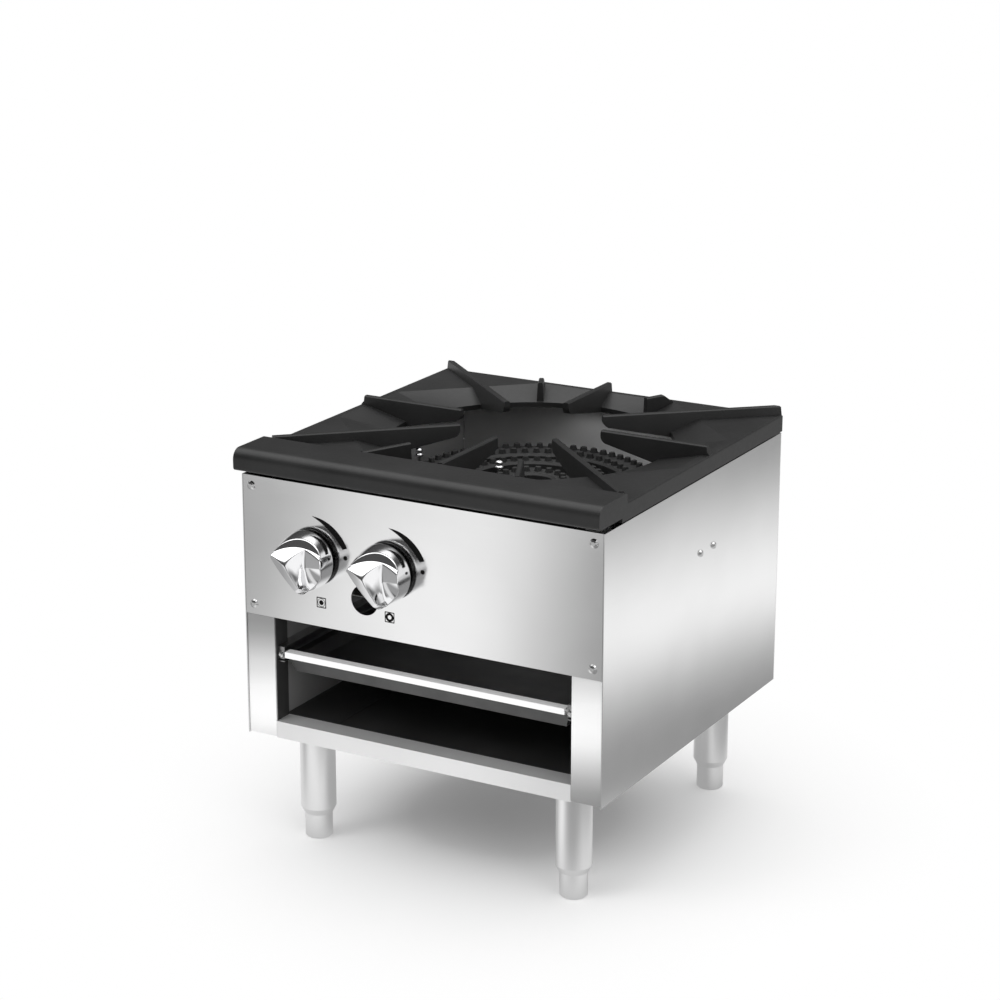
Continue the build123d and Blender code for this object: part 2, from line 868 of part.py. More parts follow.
def inlet_pipe():
    """Elbow and pipe that lead the gas from behind the range to the manifold."""
    path = FilletPolyline(
        (manifold_left_x, manifold_y, manifold_height),
        (inlet_x, manifold_y, manifold_height),
        (inlet_x, pipe_end_y, manifold_height),
        radius=inlet_bend,
    )
    start = Plane(origin=(manifold_left_x, manifold_y, manifold_height), z_dir=(-1, 0, 0))
    ring = start * Circle(manifold_radius)
    bore = start * Circle(manifold_radius - pipe_wall)
    pipe = sweep(ring, path=path) - sweep(bore, path=path)
    # The threaded end is drawn at the mean radius of its taper.
    thread_start = pipe_end_y - inlet_thread_length
    thread_radius = manifold_radius - inlet_thread_depth
    sleeve = along_y(inlet_x, manifold_height, thread_start, pipe_end_y + 1, manifold_radius + 1)
    sleeve -= along_y(inlet_x, manifold_height, thread_start - 1, pipe_end_y + 2, thread_radius)
    return pipe - sleeve


def valve_body(x):
    """Gas valve hung under the manifold: a turned body with a stem bore and a seat for the orifice."""
    outline = Polyline(
        (0, valve_front_y),
        (valve_cap_radius, valve_front_y),
        (valve_cap_radius, valve_front_y + 8),
        (valve_radius, valve_front_y + 12),
        (valve_radius, valve_back_y - 8),
        (valve_cap_radius, valve_back_y),
        (0, valve_back_y),
        close=True,
    )
    body = Pos(x, 0, knob_height) * revolve(Plane.XY * make_face(outline), axis=Axis.Y)
    neck_top = manifold_height - manifold_radius + 1.5
    neck = upright(x, manifold_y, knob_height, neck_top, 8)
    nut = Pos(x, manifold_y, knob_height + valve_radius - 1)
    neck += nut * extrude(RegularPolygon(10, 6, major_radius=False), amount=4)
    pipe = along_x(manifold_y, manifold_height, x - 2 * valve_radius, x + 2 * valve_radius, manifold_radius)
    body = body + (neck - pipe)
    body -= along_y(x, knob_height, valve_front_y - 1, stem_back_y + 1, stem_radius + stem_fit)
    return body


def orifice(x):
    """Brass orifice fitting that points into the mouth of a mixing tube."""
    radius = orifice_radius
    outline = Polyline(
        (orifice_bore, valve_back_y),
        (radius * 1.5, valve_back_y),
        (radius * 1.5, valve_back_y + 6),
        (radius, valve_back_y + 6),
        (radius, orifice_tip_y - 2),
        (radius * 0.5, orifice_tip_y),
        (orifice_bore, orifice_tip_y),
        close=True,
    )
    return Pos(x, 0, knob_height) * revolve(Plane.XY * make_face(outline), axis=Axis.Y)


def valve_stem(x):
    """D-shaped stem that joins a knob to its valve."""
    stem = along_y(x, knob_height, stem_front_y, stem_back_y, stem_radius)
    flat = block(
        x - stem_radius,
        x + stem_radius,
        stem_front_y - 1,
        knob_back_y,
        knob_height + stem_radius - stem_flat,
        knob_height + stem_radius + 1,
    )
    return stem - flat


def knob_cut(angle, points):
    """Everything outside a profile of (distance from the axis, height), facing one way."""
    reach = 2 * knob_radius
    start, end = points[0], points[-1]
    profile = [(start[0], knob_depth + 2), *points, (reach, end[1]), (reach, knob_depth + 2)]
    cut = extrude(Plane.XZ * make_face(Polyline(*profile, close=True)), amount=reach, both=True)
    return Rot(0, 0, angle) * cut


def knob(x):
    """Die-cast knob: a drafted round body cut to a grip with two facets and a deep scoop behind it."""
    draft = knob_radius - knob_crown
    outline = Polyline(
        (0, 0),
        (knob_radius - 1, 0),
        (knob_radius, 1.5),
        (knob_radius - draft * 0.15, knob_depth * 0.2),
        (knob_radius - draft * 0.45, knob_depth * 0.6),
        (knob_crown, knob_depth - 2),
        (knob_crown - 2, knob_depth),
        (0, knob_depth),
        close=True,
    )
    body = revolve(Plane.XZ * make_face(outline), axis=Axis.Z)
    facing = grip_angle - 90
    floor = knob_depth - facet_depth
    for side in (-1, 1):
        body -= knob_cut(
            facing + side * facet_spread,
            [(grip_front, knob_depth), (facet_foot, floor), (2 * facet_foot, floor - 1)],
        )
    body -= knob_cut(
        facing + 180,
        [
            (grip_back, knob_depth),
            (scoop_waist, knob_depth - scoop_depth * 0.65),
            (scoop_foot, knob_depth - scoop_depth),
            (knob_radius, knob_depth - scoop_edge_depth),
        ],
    )
    body -= Cylinder(knob_radius - knob_wall, 2 * knob_hollow_depth)
    boss_start = knob_wall / 2
    body += upright(0, 0, boss_start, knob_boss_top, knob_boss_radius)
    bore_depth = knob_back_y - stem_front_y + seam_gap
    bore = Pos(0, 0, bore_depth / 2 - 0.01) * Cylinder(stem_radius + stem_fit, bore_depth)
    body -= bore
    return one_solid(Pos(x, knob_back_y, knob_height) * Rot(90, 0, 0) * body)


def pilot_valve(x, low):
    """Small adjusting valve on the back of the manifold."""
    half = pilot_valve_size / 2
    seat = manifold_y + manifold_radius - 1.5
    back = seat + pilot_valve_size + 2
    upper = max(low, manifold_height) + half
    lower = min(low, manifold_height) - half
    body = block(x - half, x + half, seat, back, lower, upper)
    body -= along_x(manifold_y, manifold_height, x - 2 * half, x + 2 * half, manifold_radius)
    return body + along_y(x, low, back, back + 6, pilot_tube_radius + 2)


def pilot_start_y():
    return manifold_y + manifold_radius - 1.5 + pilot_valve_size + 2 + 6


def pilot_tube(x, y, low, top):
    """Bent tube from a pilot valve to the pilot head beside its burner."""
    start = pilot_start_y()
    end = top - pilot_head_height
    path = FilletPolyline((x, start, low), (x, y, low), (x, y, end), radius=pilot_bend)
    section = Plane(origin=(x, start, low), z_dir=(0, 1, 0)) * Circle(pilot_tube_radius)
    return sweep(section, path=path)


def pilot_head(x, y, top):
    """Hooded pilot head on top of a pilot tube."""
    low = top - pilot_head_height
    outline = Polyline(
        (0, low),
        (pilot_head_radius - 1.5, low),
        (pilot_head_radius - 1.5, low + 4),
        (pilot_head_radius, low + 5),
        (pilot_head_radius, low + 8),
        (pilot_head_radius - 2, top),
        (0, top),
        close=True,
    )
    return Pos(x, y, 0) * revolve(Plane.XZ * make_face(outline), axis=Axis.Z)


def octagon(grow):
    """Outline of the dished part: creases cut across the corners of the rim."""
    side = top_half - rim_width + grow
    back = body_depth - rim_width + grow
    front = nose_back_y - grow
    cut_side = bowl_side_half + grow * 0.4
    cut_back = bowl_back_half + grow * 0.4
    points = [
        (side, bowl_centre_y - cut_side),
        (side, bowl_centre_y + cut_side),
        (cut_back, back),
        (-cut_back, back),
        (-side, bowl_centre_y + cut_side),
        (-side, bowl_centre_y - cut_side),
        (-cut_back, front),
        (cut_back, front),
    ]
    return points


def bowl_wires(z_top, z_low, grow, radius):
    """Octagon at the rim and circle at the opening, cut at matching corners."""
    corners = octagon(grow)
    upper = Wire([Line((*a, z_top), (*b, z_top)).edge() for a, b in zip(corners, corners[1:] + corners[:1])])
    arcs = []
    angles = [atan2(y - bowl_centre_y, x) for x, y in corners]
    for i, start in enumerate(angles):
        end = angles[(i + 1) % len(angles)]
        if end < start:
            end += 2 * pi
        mid = (start + end) / 2
        ring = [
            (radius * cos(t), bowl_centre_y + radius * sin(t), z_low) for t in (start, mid, end)
        ]
        arcs.append(ThreePointArc(*ring).edge())
    return upper, Wire(arcs)


def bowl_solid(z_top, z_low, grow, radius):
    upper, lower = bowl_wires(z_top, z_low, grow, radius)
    return Solid.make_loft([lower, upper], ruled=True)


def tapered_section(top_width, foot_width, low):
    """Cross-section of a finger or a rib, drawn in (Y, Z), with its top edges broken."""
    half = top_width / 2
    return Polyline(
        (finger_edge - half, finger_top),
        (half - finger_edge, finger_top),
        (half, finger_top - finger_edge),
        (foot_width / 2, low),
        (-foot_width / 2, low),
        (-half, finger_top - finger_edge),
        close=True,
    )


def finger_blade(angle, inner, outer):
    """Tapered pot finger: flat on top, thin at the tip, deep at the bowl, rooted in the dished plate."""
    top = finger_top
    above = top + 1
    rim = rim_top - plate_thickness / 2
    lip = rim - bowl_lip_drop
    opening = bowl_radius + 3
    foot = rim_top + finger_tail
    profile = make_face(
        [
            Line((inner, above), (outer - finger_tail, above)),
            Line((outer - finger_tail, above), (outer - finger_tail * 0.8, foot)),
            Line((outer - finger_tail * 0.8, foot), (outer, rim_top + 0.2)),
            Line((outer, rim_top + 0.2), (outer, rim)),
            Line((outer, rim), (top_half - rim_width, rim)),
            Line((top_half - rim_width, rim), (opening, lip)),
            Line((opening, lip), (opening, top - finger_foot_depth)),
            Line((opening, top - finger_foot_depth), (inner + 9, top - finger_tip_height - 3)),
            ThreePointArc(
                (inner + 9, top - finger_tip_height - 3),
                (inner + 2.6, top - finger_tip_height),
                (inner, top - finger_tip_height + 6),
            ),
            Line((inner, top - finger_tip_height + 6), (inner, above)),
        ]
    )
    blade = extrude(Plane.XZ * profile, amount=finger_foot_width, both=True)
    section = tapered_section(finger_top_width, finger_foot_width, top - finger_foot_depth - 1)
    blade &= extrude(Plane.YZ * make_face(section), amount=2 * outer)
    return Pos(0, bowl_centre_y, 0) * Rot(0, 0, degrees(angle)) * blade


def corner_rib(angle, flat_end, slope):
    """Short radial rib between two fingers; it ends in a slope or runs flat into the front rail."""
    start = bowl_radius + 3
    end = flat_end + slope
    above = finger_top + 1
    top = finger_top
    profile = [(start, above), (flat_end, above), (flat_end, top)]
    if slope:
        profile += [(end, rim_top + 0.2), (end + 1, rim_top - 1)]
    profile += [(end, rim_top - plate_thickness / 2), (start + 4, top - rib_depth), (start, top - rib_depth)]
    rib = extrude(Plane.XZ * make_face(Polyline(*profile, close=True)), amount=rib_foot_width, both=True)
    section = tapered_section(rib_width, rib_foot_width, top - rib_depth - 1)
    rib &= extrude(Plane.YZ * make_face(section), amount=2 * end)
    return Pos(0, bowl_centre_y, 0) * Rot(0, 0, degrees(angle)) * rib


def nose_face():
    """Section of the rounded front rail of the top."""
    y0 = top_front_y
    y1 = nose_back_y
    z0 = rim_bottom + nose_bottom_rise
    z1 = rail_top
    face = make_face(Polyline((y0, z0), (y1, z0), (y1, z1), (y0, z1), close=True))
    front = [v for v in face.vertices() if v.Y > z1 - 0.1 and v.X < y0 + 0.1]
    face = fillet(front, nose_radius)
    back = [v for v in face.vertices() if v.Y > z1 - 0.1 and v.X > y1 - 0.1]
    face = fillet(back, nose_back_radius)
    low = [v for v in face.vertices() if v.Y < z0 + 0.1 and v.X < y0 + 0.1]
    return fillet(low, nose_low_radius)


def cast_iron_top():
    """One-piece casting: rim, rounded front rail, dished plate with a round opening, fingers and ribs."""
    back = body_depth
    start = nose_back_y - nose_radius
    slab = block(-top_half, top_half, start, back, rim_bottom, rim_top)
    upper = slab.edges().filter_by_position(Axis.Z, rim_top - 0.1, rim_top + 0.1)
    slab = fillet([e for e in upper if e.center().Y > start + 1], rim_edge_radius)
    slab += run_x(nose_face(), -top_half, top_half)
    # Hollow underside: the rim and the rail are walls, the plate is even in thickness.
    inner = top_half - rim_width
    under = block(
        -inner, inner, nose_back_y - nose_radius, back - rim_width, rim_bottom - 1, rim_top - plate_thickness
    )
    slab -= under
    hollow = make_face(
        Polyline(
            (top_front_y + rim_width, rim_bottom - 1),
            (nose_back_y, rim_bottom - 1),
            (nose_back_y, rim_top - plate_thickness),
            (nose_back_y - rim_width, rail_top - plate_thickness - 2),
            (top_front_y + rim_width + 4, rail_top - plate_thickness - 2),
            (top_front_y + rim_width, rail_top - plate_thickness - 8),
            close=True,
        )
    )
    slab -= run_x(hollow, -inner, inner)
    low = rim_top - bowl_lip_drop
    dish = bowl_solid(rim_top - 0.4, low - plate_thickness, 3, bowl_radius + plate_thickness * 0.8)
    casting = slab + dish
    cut = bowl_solid(rim_top + 0.01, low, 0, bowl_radius)
    casting -= cut
    casting -= upright(0, bowl_centre_y, low - finger_foot_depth, low + 1, bowl_radius)
    rear = body_depth - bowl_centre_y
    front = bowl_centre_y - nose_back_y + 4
    far = hypot(rear, top_half)
    front_corner = hypot(front, top_half) - finger_foot_width / 2
    blades = [
        finger_blade(0, side_finger_radius, top_half - finger_inset),
        finger_blade(pi, side_finger_radius, top_half - finger_inset),
        finger_blade(pi / 2, middle_finger_radius, far),
        finger_blade(-pi / 2, middle_finger_radius, front),
    ]
    for side in (-1, 1):
        blades.append(finger_blade(atan2(rear, side * corner_finger_x), corner_finger_radius, far + rim_width))
        blades.append(
            finger_blade(atan2(-front, side * (top_half - 3)), corner_finger_radius, front_corner)
        )
    # The rear fingers end flush with the rim, so they are cut off along it.
    footprint = block(
        finger_inset - top_half,
        top_half - finger_inset,
        nose_back_y - 2 * nose_back_radius,
        body_depth - finger_inset,
        body_bottom,
        2 * finger_top,
    )
    blades = [blade & footprint for blade in blades]
    rib_end = (rear - rim_width) / cos(radians(rib_angle)) - rib_slope_length
    rail_reach = front / cos(radians(rib_angle))
    ribs = []
    for side in (-1, 1):
        lean = side * radians(rib_angle)
        ribs.append(corner_rib(pi / 2 + lean, rib_end, rib_slope_length))
        ribs.append(corner_rib(-pi / 2 + lean, rail_reach, 0))
    pads = []
    for side in (-1, 1):
        for y in (pad_end_y, body_depth - pad_end_y / 2):
            pads.append(
                upright(side * (half_width - pad_inset), y, body_top, rim_top - plate_thickness / 2, pad_radius)
            )
    casting = casting.fuse(*blades, *ribs, *pads)
    return one_solid(casting)


def build():
    save("side_panel_left", side_panel(-1))
    save("side_panel_right", side_panel(1))
    save("front_post_left", front_post(-1))
    save("front_post_right", front_post(1))
    save("control_panel", control_panel())
    save("front_rail", front_rail())
    save("floor_pan_left", floor_pan(-frame_half, floor_seam_x - floor_seam_gap / 2))
    save("floor_pan_right", floor_pan(floor_seam_x + floor_seam_gap / 2, frame_half))
    save("base_channel_left", base_channel(-1))
    save("base_channel_right", base_channel(1))
    save("back_panel", back_panel())
    save("inner_wall_left", inner_wall(-1))
    save("inner_wall_right", inner_wall(1))
    save("fire_box_front", fire_front())
    save("fire_box_back", fire_back())
    save("tray_guide_left", tray_guide(-1))
    save("tray_guide_right", tray_guide(1))
    save("drip_tray", drip_tray())
    save("cast_iron_top", cast_iron_top())
    save("outer_burner", outer_burner())
    save("inner_burner", inner_burner())
    save("burner_support_front", burner_support(support_front_y))
    save("burner_support_back", burner_support(support_back_y))
    save("burner_hanger_left", burner_hanger(-1))
    save("burner_hanger_right", burner_hanger(1))
    save("gas_manifold", manifold())
    save("gas_inlet_pipe", inlet_pipe())
    for side, x in (("left", outer_knob_x), ("right", inner_knob_x)):
        save(f"valve_body_{side}", valve_body(x))
        save(f"orifice_{side}", orifice(x))
        save(f"valve_stem_{side}", valve_stem(x))
        save(f"knob_{side}", knob(x))
        save(f"air_shutter_{side}", air_shutter(x))
    save("pilot_valve_outer", pilot_valve(outer_pilot_x, outer_pilot_height))
    save("pilot_valve_inner", pilot_valve(inner_pilot_x, inner_pilot_height))
    save("pilot_tube_outer", pilot_tube(outer_pilot_x, outer_pilot_y, outer_pilot_height, outer_pilot_top))
    save("pilot_tube_inner", pilot_tube(inner_pilot_x, inner_pilot_y, inner_pilot_height, inner_pilot_top))
    save("pilot_head_outer", pilot_head(outer_pilot_x, outer_pilot_y, outer_pilot_top))
    save("pilot_head_inner", pilot_head(inner_pilot_x, inner_pilot_y, inner_pilot_top))
    for name, (x, y) in leg_positions().items():
        save(f"leg_{name}", leg(x, y))
        save(f"foot_{name}", foot(x, y))
    save("leg_nuts", leg_nuts())
    save("panel_screws", panel_screws())
    save("side_screws", side_screws())
    save("back_screws", back_screws())
    save("guide_screws", guide_screws())


build()
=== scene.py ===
import math

import bpy
import numpy as np
from mathutils import Matrix


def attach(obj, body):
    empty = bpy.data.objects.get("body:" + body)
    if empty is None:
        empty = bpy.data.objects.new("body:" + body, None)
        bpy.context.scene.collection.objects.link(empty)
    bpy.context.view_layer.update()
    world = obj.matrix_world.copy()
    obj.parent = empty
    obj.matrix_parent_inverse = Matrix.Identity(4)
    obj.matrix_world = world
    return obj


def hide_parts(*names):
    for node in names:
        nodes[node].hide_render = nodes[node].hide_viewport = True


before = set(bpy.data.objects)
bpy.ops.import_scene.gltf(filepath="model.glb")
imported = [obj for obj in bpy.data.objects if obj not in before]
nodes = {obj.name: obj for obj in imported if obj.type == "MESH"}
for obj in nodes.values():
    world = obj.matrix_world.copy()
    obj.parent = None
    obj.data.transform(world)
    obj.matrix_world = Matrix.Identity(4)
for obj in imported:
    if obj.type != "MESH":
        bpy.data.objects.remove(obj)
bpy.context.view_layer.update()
print("cabinet and top loaded:", len(nodes), "pieces")

# Drawing sizes of shapes are millimetres from the cabinet: X 0 in the middle, Y 0 at the control panel, Z 0 on the
# floor. Sizes in the finishes and the studio are metres.
cabinetShift = 219.25


def toFrame(points):
    # millimetres on the cabinet -> metres in the shared frame
    moved = np.asarray(points, dtype=float) - (0.0, cabinetShift, 0.0)
    return moved / 1000.0


# Noise patterns: cycles per metre, detail, roughness.
grainOf = {
    "hair": (900.0, 2.0, 0.6), "scratch": (500.0, 2.0, 0.6), "cloud": (6.0, 3.0, 0.55), "smudge": (24.0, 4.0, 0.6),
    "soot": (18.0, 5.0, 0.6), "drift": (7.0, 4.0, 0.6), "dust": (14.0, 5.0, 0.65), "peel": (700.0, 2.0, 0.5),
    "coarseSand": (160.0, 3.0, 0.6), "fineSand": (620.0, 2.0, 0.55), "patch": (9.0, 4.0, 0.6),
    "ripple": (45.0, 2.0, 0.5), "smear": (18.0, 4.0, 0.6), "turning": (380.0, 3.0, 0.5), "stain": (30.0, 4.0, 0.6),
    "speck": (900.0, 2.0, 0.5), "floor": (3.0, 2.0, 0.5),
}


class Wire:
    # one output socket; + - * / ** build Math nodes, in either order
    def __init__(self, finish, socket):
        self.finish = finish
        self.socket = socket

    def maths(self, operation, first, second):
        return self.finish.make("ShaderNodeMath", {"operation": operation}, {0: first, 1: second})

    def __add__(self, other):
        return self.maths("ADD", self, other)

    def __radd__(self, other):
        return self.maths("ADD", other, self)

    def __sub__(self, other):
        return self.maths("SUBTRACT", self, other)

    def __rsub__(self, other):
        return self.maths("SUBTRACT", other, self)

    def __mul__(self, other):
        return self.maths("MULTIPLY", self, other)

    def __rmul__(self, other):
        return self.maths("MULTIPLY", other, self)

    def __truediv__(self, other):
        return self.maths("DIVIDE", self, other)

    def __pow__(self, other):
        return self.maths("POWER", self, other)


class Finish:
    # a material, or the world, under construction
    def __init__(self, name, owner=None):
        self.owner = owner or bpy.data.materials.new(name)
        self.owner.use_nodes = True
        self.tree = self.owner.node_tree
        self.tree.nodes.clear()

    def node(self, kind, settings=None, inputs=None):
        made = self.tree.nodes.new(kind)
        for key, value in (settings or {}).items():
            if key == "stops":
                ramp = made.color_ramp
                while len(ramp.elements) > 1:
                    ramp.elements.remove(ramp.elements[0])
                ramp.elements[0].position = value[0][0]
                ramp.elements[0].color = value[0][1]
                for at, color in value[1:]:
                    ramp.elements.new(at).color = color
            else:
                setattr(made, key, value)
        for key, value in (inputs or {}).items():
            if isinstance(value, Wire):
                self.tree.links.new(value.socket, made.inputs[key])
            else:
                made.inputs[key].default_value = value
        return made

    def make(self, kind, settings=None, inputs=None, out=0):
        return Wire(self, self.node(kind, settings, inputs).outputs[out])

    def noise(self, grain, stretch=(1.0, 1.0, 1.0)):
        scale, detail, roughness = grainOf[grain]
        place = self.make("ShaderNodeTexCoord", out="Object")
        place = self.make("ShaderNodeMapping", None, {"Vector": place, "Scale": stretch})
        return self.make(
            "ShaderNodeTexNoise",
            None,
            {"Vector": place, "Scale": scale, "Detail": detail, "Roughness": roughness},
        )

    def spread(self, wire, low, high, fromLow=0.0, fromHigh=1.0):
        # low up to fromLow, high past fromHigh, straight between
        return self.make(
            "ShaderNodeMapRange",
            {"clamp": True},
            {"Value": wire, "From Min": fromLow, "From Max": fromHigh, "To Min": low, "To Max": high},
        )

    def rising(self, wire, edges, top=1.0):
        return self.spread(wire, 0.0, top, *edges)

    def falling(self, wire, edges, top=1.0):
        return self.spread(wire, top, 0.0, *edges)

    def parts(self, kind="Object"):
        # X, Y and Z of the coordinates: metres for Object
        split = self.node("ShaderNodeSeparateXYZ", None, {0: self.make("ShaderNodeTexCoord", out=kind)})
        return [Wire(self, split.outputs[i]) for i in range(3)]

    def ramp(self, wire, stops, between="LINEAR"):
        # stops are pairs of place and brightness
        made = self.node("ShaderNodeValToRGB", {"stops": [(at, rgb(level)) for at, level in stops]}, {0: wire})
        made.color_ramp.interpolation = between
        return Wire(self, made.outputs[0])

    def mixColor(self, mask, first, second):
        return self.make("ShaderNodeMix", {"data_type": "RGBA"}, {0: mask, 6: first, 7: second}, out=2)

    def tones(self, mask, tone, shares):
        # one grey, times the first share where the mask is 0 and the second where it is 1
        return self.mixColor(mask, rgb(tone * shares[0]), rgb(tone * shares[1]))

    def bump(self, height, distance, strength):
        return self.make("ShaderNodeBump", None, {"Height": height, "Distance": distance, "Strength": strength})

    def rays(self):
        # camera rays, and the rays that metal and glass send on
        path = self.node("ShaderNodeLightPath")
        kinds = ("Is Camera Ray", "Is Glossy Ray", "Is Transmission Ray")
        camera, glossy, through = (Wire(self, path.outputs[kind]) for kind in kinds)
        return camera, glossy.maths("MAXIMUM", glossy, through)

    def mixShader(self, mask, first, second):
        made = self.node("ShaderNodeMixShader", None, {0: mask})
        self.tree.links.new(first.outputs[0], made.inputs[1])
        self.tree.links.new(second.outputs[0], made.inputs[2])
        return made

    def close(self, shader, kind="ShaderNodeOutputMaterial"):
        self.tree.links.new(shader.outputs[0], self.node(kind).inputs[0])
        return self.owner

    def done(self, **sockets):
        named = {key.replace("_", " "): value for key, value in sockets.items()}
        return self.close(self.node("ShaderNodeBsdfPrincipled", None, named))


def rgb(value, tint=(1.0, 1.0, 1.0)):
    return (value * tint[0], value * tint[1], value * tint[2], 1.0)


# Each bump is a depth in metres and a strength; edges are where a change starts and ends.
steelLook = {
    "bright": 0.84, "satin": 0.70, "leg": 0.86, "cloudTones": (0.94, 1.03), "cloudEdges": (0.3, 0.7),
    "smudgeRough": 0.25, "drawn": 0.02, "grainBump": (0.00001, 0.2),
}


def rolledSteel(name, tone, rough, grain, along, metal=1.0):
    # sheet steel: hair-fine grain drawn out along one axis, faint cloudy differences in polish
    f = Finish(name)
    look = steelLook
    stretch = [1.0, 1.0, 1.0]
    stretch["XYZ".index(along)] = look["drawn"]
    lines = f.noise("hair", tuple(stretch))
    smudge = f.noise("smudge")
    return f.done(
        Base_Color=f.tones(f.rising(f.noise("cloud"), look["cloudEdges"]), tone, look["cloudTones"]),
        Metallic=metal,
        Roughness=rough + (lines - 0.5) * grain + (smudge - 0.5) * (rough * look["smudgeRough"]),
        Normal=f.bump(lines, *look["grainBump"]),
    )


# Pairs are for the pan and for the lip, which starts at the height given.
trayLook = {
    "bright": 0.97, "panTone": 0.13, "sootTones": (0.6, 1.5), "lip": (0.2318, 0.2324), "metal": (1.0, 0.1),
    "rough": (0.5, 0.3), "sootRough": 0.1,
}


def traySheet(name):
    # one sheet: the folded lip is bright, the pan below and behind it is dark
    f = Finish(name)
    look = trayLook
    _, _, z = f.parts()
    lip = f.rising(z, look["lip"])
    soot = f.noise("soot")
    return f.done(
        # the pan is dark and varied by noise, the lip above the given height is bright
        Base_Color=f.mixColor(lip, f.tones(soot, look["panTone"], look["sootTones"]), rgb(look["bright"])),
        Metallic=f.spread(lip, *look["metal"]),
        Roughness=f.spread(lip, *look["rough"]) + (soot - 0.5) * look["sootRough"],
    )


linerLook = {
    "shadedLeft": 0.42, "litRight": 0.92, "from": -0.12, "to": 0.14, "wander": 0.08, "metal": 0.45, "rough": 0.42,
    "driftRough": 0.15, "scratchRough": 0.06, "drawn": 0.03, "scratchBump": (0.00002, 0.3),
}


def linerSheet(name):
    # dull sheet round the burner and the shelf, with painted shade on the left and a painted highlight on the right
    f = Finish(name)
    look = linerLook
    x, _, _ = f.parts()
    drift = f.noise("drift")
    lines = f.noise("scratch", (1.0, 1.0, look["drawn"]))
    # painted shade and highlight: the colour goes from dark on the left to pale on the right
    tone = f.spread(x + (drift - 0.5) * look["wander"], look["shadedLeft"], look["litRight"], look["from"], look["to"])
    return f.done(
        Base_Color=f.mixColor(tone, rgb(0.0), rgb(1.0)),
        Metallic=look["metal"],
        Roughness=look["rough"] + (drift - 0.5) * look["driftRough"] + (lines - 0.5) * look["scratchRough"],
        Normal=f.bump(lines, *look["scratchBump"]),
    )


# The painted sheen is given from the foot of a post to its head, along a line that leans across the post: a highlight
# painted into the colour.
postLook = {
    "bright": 1.1067, "cloudTones": (0.98, 1.02), "inside": (0.0022, 0.0045), "insideTone": 0.05, "metal": 0.35,
    "rough": 0.42, "grainRough": 0.08, "sheenLean": 0.134, "sheenRange": (0.109, 0.302),
    "paintedSheen": [
        (0.0, 0.29), (0.07, 0.35), (0.145, 0.48), (0.22, 0.64), (0.29, 0.80), (0.36, 0.94), (0.43, 1.0),
        (0.50, 0.985), (0.575, 0.93), (0.68, 0.76), (0.76, 0.665), (0.85, 0.48), (0.93, 0.34), (1.0, 0.29),
    ],
}


def postSheet(name):
    # corner post: pale brushed face with a painted sheen across it, dark behind the first millimetres
    f = Finish(name)
    look = postLook
    x, y, z = f.parts()
    lines = f.noise("hair", (1.0, 1.0, steelLook["drawn"]))
    inside = f.rising(y + cabinetShift / 1000.0, look["inside"])
    # painted sheen: a highlight painted into the colour, brightest part way up the post along a leaning line
    paintedSheen = f.ramp(f.rising(z - x * look["sheenLean"], look["sheenRange"]), look["paintedSheen"])
    face = f.mixColor(paintedSheen, rgb(0.0), f.tones(f.noise("cloud"), look["bright"], look["cloudTones"]))
    return f.done(
        Base_Color=f.mixColor(inside, face, rgb(look["insideTone"])),
        Metallic=look["metal"],
        Roughness=look["rough"] + (lines - 0.5) * look["grainRough"],
        Normal=f.bump(lines, *steelLook["grainBump"]),
    )


paintLook = {"dustTones": (1.0, 1.7), "dustEdges": (0.35, 0.75), "dustRough": (-0.06, 0.1), "peelBump": (0.00003, 0.4)}


def paintedSheet(name, tone, rough):
    # dark paint with orange peel, paler and rougher where dust lies
    f = Finish(name)
    look = paintLook
    dust = f.noise("dust")
    return f.done(
        Base_Color=f.tones(f.rising(dust, look["dustEdges"]), tone, look["dustTones"]),
        Roughness=f.spread(dust, rough + look["dustRough"][0], rough + look["dustRough"][1]),
        Normal=f.bump(f.noise("peel"), *look["peelBump"]),
    )


ironLook = {
    "shine": 0.42, "wornEdges": (0.35, 0.7), "coarseShare": 0.55, "patchRough": 0.12, "grainRough": 0.10,
    "strength": 0.6,
}


def coatedIron(name, tone, worn, rough, depth):
    # sand-cast surface under a thin satin coating: two sizes of grain, paler in worn patches
    f = Finish(name)
    look = ironLook
    coarse = f.noise("coarseSand")
    patch = f.noise("patch")
    height = coarse * look["coarseShare"] + f.noise("fineSand") * (1.0 - look["coarseShare"])
    return f.done(
        Base_Color=f.mixColor(f.rising(patch, look["wornEdges"]), rgb(tone), rgb(worn)),
        Roughness=rough + (patch - 0.5) * look["patchRough"] + (coarse - 0.5) * look["grainRough"],
        Specular_IOR_Level=look["shine"],
        Normal=f.bump(height, depth, look["strength"]),
    )


chromeLook = {
    "tone": 0.83, "tint": (1.0, 1.0, 1.01), "shadeBand": (-0.0067, -0.0065), "footShade": 0.01, "rough": (0.05, 0.13),
    "smearEdges": (0.3, 0.7), "rippleBump": (0.00012, 0.25),
}


def castChrome(name, shadedFoot):
    # plated casting; on the knobs the last four millimetres towards the panel are near-black and dull: painted shade
    # at the knob's foot, which the panel mirrors as a dark crescent
    f = Finish(name)
    look = chromeLook
    base, metal = rgb(look["tone"], look["tint"]), 1.0
    if shadedFoot:
        _, y, _ = f.parts()
        # painted shade: a near-black, non-metal band at the back of the knob
        footShade = f.rising(y + cabinetShift / 1000.0, look["shadeBand"])
        base = f.mixColor(footShade, base, rgb(look["footShade"]))
        metal = 1.0 - footShade
    return f.done(
        Base_Color=base,
        Metallic=metal,
        Roughness=f.spread(f.noise("smear"), *look["rough"], *look["smearEdges"]),
        Normal=f.bump(f.noise("ripple"), *look["rippleBump"]),
    )


turnedLook = {"stained": 0.78, "stainEdges": (0.3, 0.7), "turningRough": (-0.05, 0.1), "turningBump": (0.00003, 0.3)}


